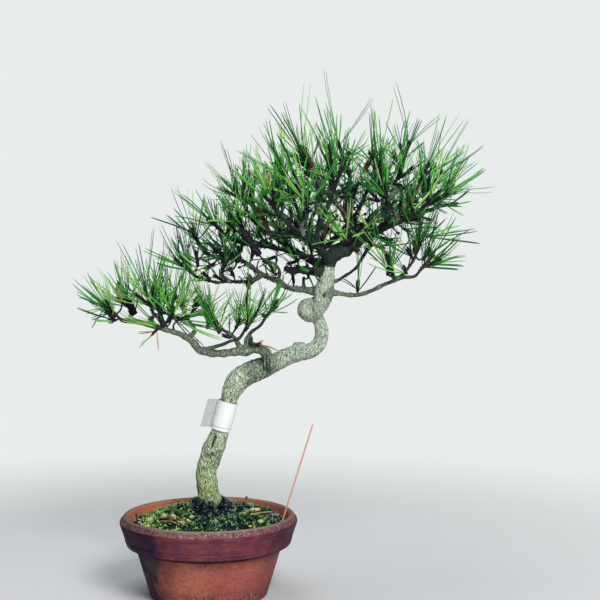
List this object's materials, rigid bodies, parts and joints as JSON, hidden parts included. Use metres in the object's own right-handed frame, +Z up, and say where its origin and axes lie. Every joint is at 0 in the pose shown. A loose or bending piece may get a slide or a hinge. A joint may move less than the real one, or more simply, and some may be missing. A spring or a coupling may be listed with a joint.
{
  "type": "bonsai pine in a clay pot",
  "caption": "Potted bonsai pine: a leaning, S-bent trunk with a long low branch and open tufts of long needles, rooted in mossy soil in a round banded clay pot.",
  "frame": {"origin": "Centre of the pot's flat foot, on the surface that the pot stands on.", "axes": "+Z up along the pot's axis, the tree leans towards +X, and its front looks towards -Y."},
  "size_m": [0.3657, 0.2192, 0.4411],
  "materials": {
    "terracotta": "unglazed fired clay, with a darker weathered band and lime specks",
    "screen": "moulded black mesh",
    "soil": "moist crumbly soil",
    "moss": "soft living moss",
    "bark": "rough flaky grey-green bark",
    "needles": "satin green needles",
    "dry_needles": "dry tan needles",
    "label": "smooth bare white tape",
    "stick": "smooth, copper coloured",
    "peg": "rough and dark",
    "straw": "dry stalk",
    "pebble": "matt weathered stone"
  },
  "bodies": {
    "root": {"pot": "terracotta", "drain_screen": "screen", "soil": "soil", "moss": "moss", "tree": "bark", "label_band": "label", "marker_stick": "stick", "short_peg": "peg", "straw": "straw", "pebble_1": "pebble", "pebble_2": "pebble", "pebble_3": "pebble", "pebble_4": "pebble", "dry_spray_1": "dry_needles", "dry_spray_2": "dry_needles", "spray_01": "needles", "spray_02": "needles", "spray_03": "needles", "spray_04": "needles", "spray_05": "needles", "spray_06": "needles", "spray_07": "needles", "spray_08": "needles", "spray_09": "needles", "spray_10": "needles", "spray_11": "needles", "spray_12": "needles", "spray_13": "needles", "spray_14": "needles", "spray_15": "needles", "spray_16": "needles", "spray_17": "needles", "spray_18": "needles", "spray_19": "needles", "spray_20": "needles", "spray_21": "needles", "spray_22": "needles", "spray_23": "needles", "spray_24": "needles", "spray_25": "needles", "spray_26": "needles", "spray_27": "needles", "spray_28": "needles", "spray_29": "needles", "spray_30": "needles", "spray_31": "needles", "spray_32": "needles", "spray_33": "needles", "spray_34": "needles", "spray_35": "needles", "spray_36": "needles", "spray_37": "needles", "spray_38": "needles", "spray_39": "needles", "spray_40": "needles", "spray_41": "needles", "spray_42": "needles", "spray_43": "needles", "spray_44": "needles", "spray_45": "needles"}
  },
  "joints": []
}
